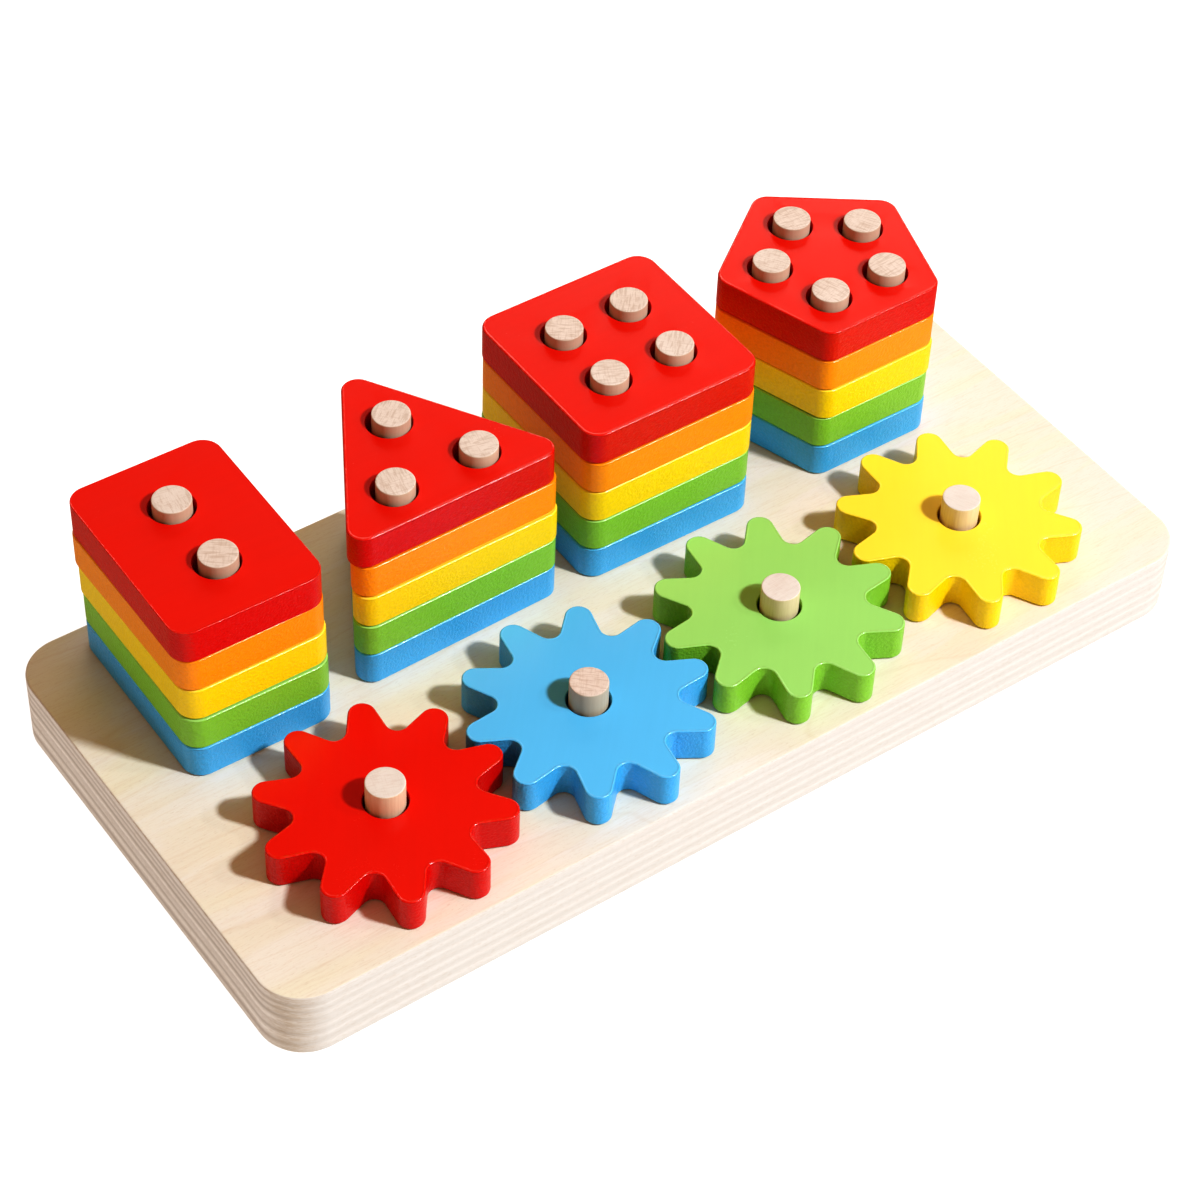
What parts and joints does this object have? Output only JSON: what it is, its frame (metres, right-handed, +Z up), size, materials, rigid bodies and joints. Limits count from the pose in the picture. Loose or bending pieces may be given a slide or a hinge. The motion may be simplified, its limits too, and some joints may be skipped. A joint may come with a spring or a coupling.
{
  "type": "wooden gear puzzle board",
  "caption": "Thick plywood board with a row of meshing toy gears on dowel pegs in front and stacks of painted rectangle, triangle, square and pentagon blocks threaded on pegs behind.",
  "frame": {"origin": "centre of the board's underside", "axes": "+X along the board's length and the row of gears, from the rectangle stack to the pentagon stack; +Y from the gears towards the stacks; +Z up along the pegs"},
  "size_m": [0.28, 0.1342, 0.0745],
  "materials": {
    "plywood": "sanded birch plywood under a thin clear coat",
    "dowel": "bare sanded dowel",
    "paint_red": "satin red paint on plywood",
    "paint_orange": "satin orange paint on plywood",
    "paint_yellow": "satin yellow paint on plywood",
    "paint_green": "satin green paint on plywood",
    "paint_blue": "satin blue paint on plywood"
  },
  "bodies": {
    "board": {"base_board": "plywood", "peg_gear_1": "dowel", "peg_gear_2": "dowel", "peg_gear_3": "dowel", "peg_gear_4": "dowel", "peg_rectangle_1": "dowel", "peg_rectangle_2": "dowel", "peg_triangle_1": "dowel", "peg_triangle_2": "dowel", "peg_triangle_3": "dowel", "peg_square_1": "dowel", "peg_square_2": "dowel", "peg_square_3": "dowel", "peg_square_4": "dowel", "peg_pentagon_1": "dowel", "peg_pentagon_2": "dowel", "peg_pentagon_3": "dowel", "peg_pentagon_4": "dowel", "peg_pentagon_5": "dowel"},
    "red_gear": {"gear_red": "paint_red"},
    "blue_gear": {"gear_blue": "paint_blue"},
    "green_gear": {"gear_green": "paint_green"},
    "yellow_gear": {"gear_yellow": "paint_yellow"},
    "blue_rectangle": {"rectangle_blue": "paint_blue"},
    "green_rectangle": {"rectangle_green": "paint_green"},
    "yellow_rectangle": {"rectangle_yellow": "paint_yellow"},
    "orange_rectangle": {"rectangle_orange": "paint_orange"},
    "red_rectangle": {"rectangle_red": "paint_red"},
    "blue_triangle": {"triangle_blue": "paint_blue"},
    "green_triangle": {"triangle_green": "paint_green"},
    "yellow_triangle": {"triangle_yellow": "paint_yellow"},
    "orange_triangle": {"triangle_orange": "paint_orange"},
    "red_triangle": {"triangle_red": "paint_red"},
    "blue_square": {"square_blue": "paint_blue"},
    "green_square": {"square_green": "paint_green"},
    "yellow_square": {"square_yellow": "paint_yellow"},
    "orange_square": {"square_orange": "paint_orange"},
    "red_square": {"square_red": "paint_red"},
    "blue_pentagon": {"pentagon_blue": "paint_blue"},
    "green_pentagon": {"pentagon_green": "paint_green"},
    "yellow_pentagon": {"pentagon_yellow": "paint_yellow"},
    "orange_pentagon": {"pentagon_orange": "paint_orange"},
    "red_pentagon": {"pentagon_red": "paint_red"}
  },
  "joints": [
    {"name": "red_gear_spin", "type": "hinge", "parent": "board", "child": "red_gear", "pos_m": [-0.09025, -0.03235, 0.0261], "axis": [0, 0, 1], "continuous": true},
    {"name": "blue_gear_spin", "type": "hinge", "parent": "board", "child": "blue_gear", "pos_m": [-0.03095, -0.03235, 0.0261], "axis": [0, 0, 1], "continuous": true},
    {"name": "green_gear_spin", "type": "hinge", "parent": "board", "child": "green_gear", "pos_m": [0.02835, -0.03235, 0.0261], "axis": [0, 0, 1], "continuous": true},
    {"name": "yellow_gear_spin", "type": "hinge", "parent": "board", "child": "yellow_gear", "pos_m": [0.08765, -0.03235, 0.0261], "axis": [0, 0, 1], "continuous": true},
    {"name": "blue_rectangle_lift", "type": "slide", "parent": "board", "child": "blue_rectangle", "axis": [0, 0, 1], "range_m": [0, 0.056]},
    {"name": "green_rectangle_lift", "type": "slide", "parent": "blue_rectangle", "child": "green_rectangle", "axis": [0, 0, 1], "range_m": [0, 0.046]},
    {"name": "yellow_rectangle_lift", "type": "slide", "parent": "green_rectangle", "child": "yellow_rectangle", "axis": [0, 0, 1], "range_m": [0, 0.036]},
    {"name": "orange_rectangle_lift", "type": "slide", "parent": "yellow_rectangle", "child": "orange_rectangle", "axis": [0, 0, 1], "range_m": [0, 0.026]},
    {"name": "red_rectangle_lift", "type": "slide", "parent": "orange_rectangle", "child": "red_rectangle", "axis": [0, 0, 1], "range_m": [0, 0.016]},
    {"name": "blue_triangle_lift", "type": "slide", "parent": "board", "child": "blue_triangle", "axis": [0, 0, 1], "range_m": [0, 0.056]},
    {"name": "green_triangle_lift", "type": "slide", "parent": "blue_triangle", "child": "green_triangle", "axis": [0, 0, 1], "range_m": [0, 0.046]},
    {"name": "yellow_triangle_lift", "type": "slide", "parent": "green_triangle", "child": "yellow_triangle", "axis": [0, 0, 1], "range_m": [0, 0.036]},
    {"name": "orange_triangle_lift", "type": "slide", "parent": "yellow_triangle", "child": "orange_triangle", "axis": [0, 0, 1], "range_m": [0, 0.026]},
    {"name": "red_triangle_lift", "type": "slide", "parent": "orange_triangle", "child": "red_triangle", "axis": [0, 0, 1], "range_m": [0, 0.016]},
    {"name": "blue_square_lift", "type": "slide", "parent": "board", "child": "blue_square", "axis": [0, 0, 1], "range_m": [0, 0.056]},
    {"name": "green_square_lift", "type": "slide", "parent": "blue_square", "child": "green_square", "axis": [0, 0, 1], "range_m": [0, 0.046]},
    {"name": "yellow_square_lift", "type": "slide", "parent": "green_square", "child": "yellow_square", "axis": [0, 0, 1], "range_m": [0, 0.036]},
    {"name": "orange_square_lift", "type": "slide", "parent": "yellow_square", "child": "orange_square", "axis": [0, 0, 1], "range_m": [0, 0.026]},
    {"name": "red_square_lift", "type": "slide", "parent": "orange_square", "child": "red_square", "axis": [0, 0, 1], "range_m": [0, 0.016]},
    {"name": "blue_pentagon_lift", "type": "slide", "parent": "board", "child": "blue_pentagon", "axis": [0, 0, 1], "range_m": [0, 0.056]},
    {"name": "green_pentagon_lift", "type": "slide", "parent": "blue_pentagon", "child": "green_pentagon", "axis": [0, 0, 1], "range_m": [0, 0.046]},
    {"name": "yellow_pentagon_lift", "type": "slide", "parent": "green_pentagon", "child": "yellow_pentagon", "axis": [0, 0, 1], "range_m": [0, 0.036]},
    {"name": "orange_pentagon_lift", "type": "slide", "parent": "yellow_pentagon", "child": "orange_pentagon", "axis": [0, 0, 1], "range_m": [0, 0.026]},
    {"name": "red_pentagon_lift", "type": "slide", "parent": "orange_pentagon", "child": "red_pentagon", "axis": [0, 0, 1], "range_m": [0, 0.016]}
  ],
  "couplings": [
    {"joint": "blue_gear_spin", "follows": "red_gear_spin", "ratio": -1},
    {"joint": "green_gear_spin", "follows": "red_gear_spin", "ratio": 1},
    {"joint": "yellow_gear_spin", "follows": "red_gear_spin", "ratio": -1}
  ]
}
